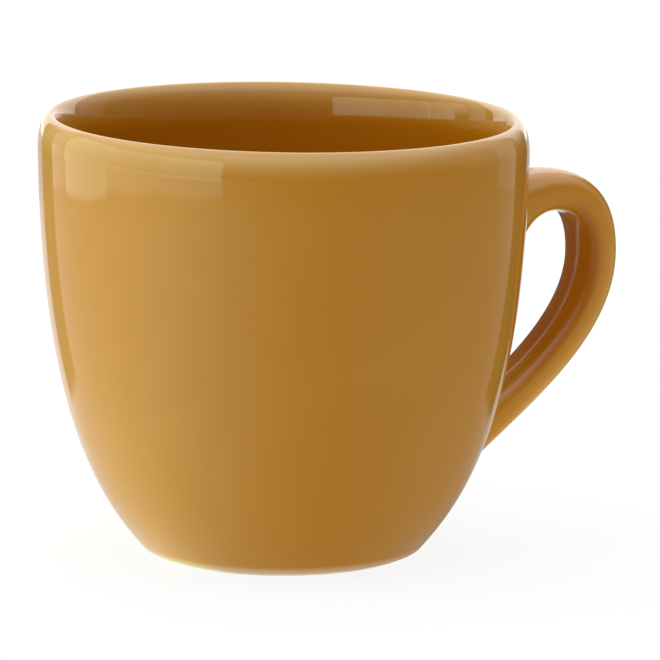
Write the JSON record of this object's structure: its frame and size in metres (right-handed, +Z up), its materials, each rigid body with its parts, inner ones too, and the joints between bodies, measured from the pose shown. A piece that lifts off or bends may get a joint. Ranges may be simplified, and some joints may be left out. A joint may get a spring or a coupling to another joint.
{
  "type": "tea cup",
  "caption": "Glazed ceramic tea cup with a round belly that narrows to a small foot ring, a thick rounded lip and a loop-shaped strap handle to hold it by.",
  "frame": {"origin": "on the axis of the bowl, in the plane that the foot ring stands on", "axes": "+Z up along the axis of the bowl, +X out through the middle of the handle, and the cup is the same on both sides of the XZ plane"},
  "size_m": [0.1142, 0.09, 0.0808],
  "materials": {
    "clay": "bare fired stoneware, matt",
    "slip": "fired joining slip, matt",
    "glaze": "glossy ochre glaze"
  },
  "bodies": {
    "root": {"bowl": "clay", "handle": "clay", "upper_slip_joint": "slip", "lower_slip_joint": "slip", "inner_glaze": "glaze", "outer_glaze": "glaze", "handle_glaze": "glaze", "foot_well_glaze": "glaze"}
  },
  "joints": []
}
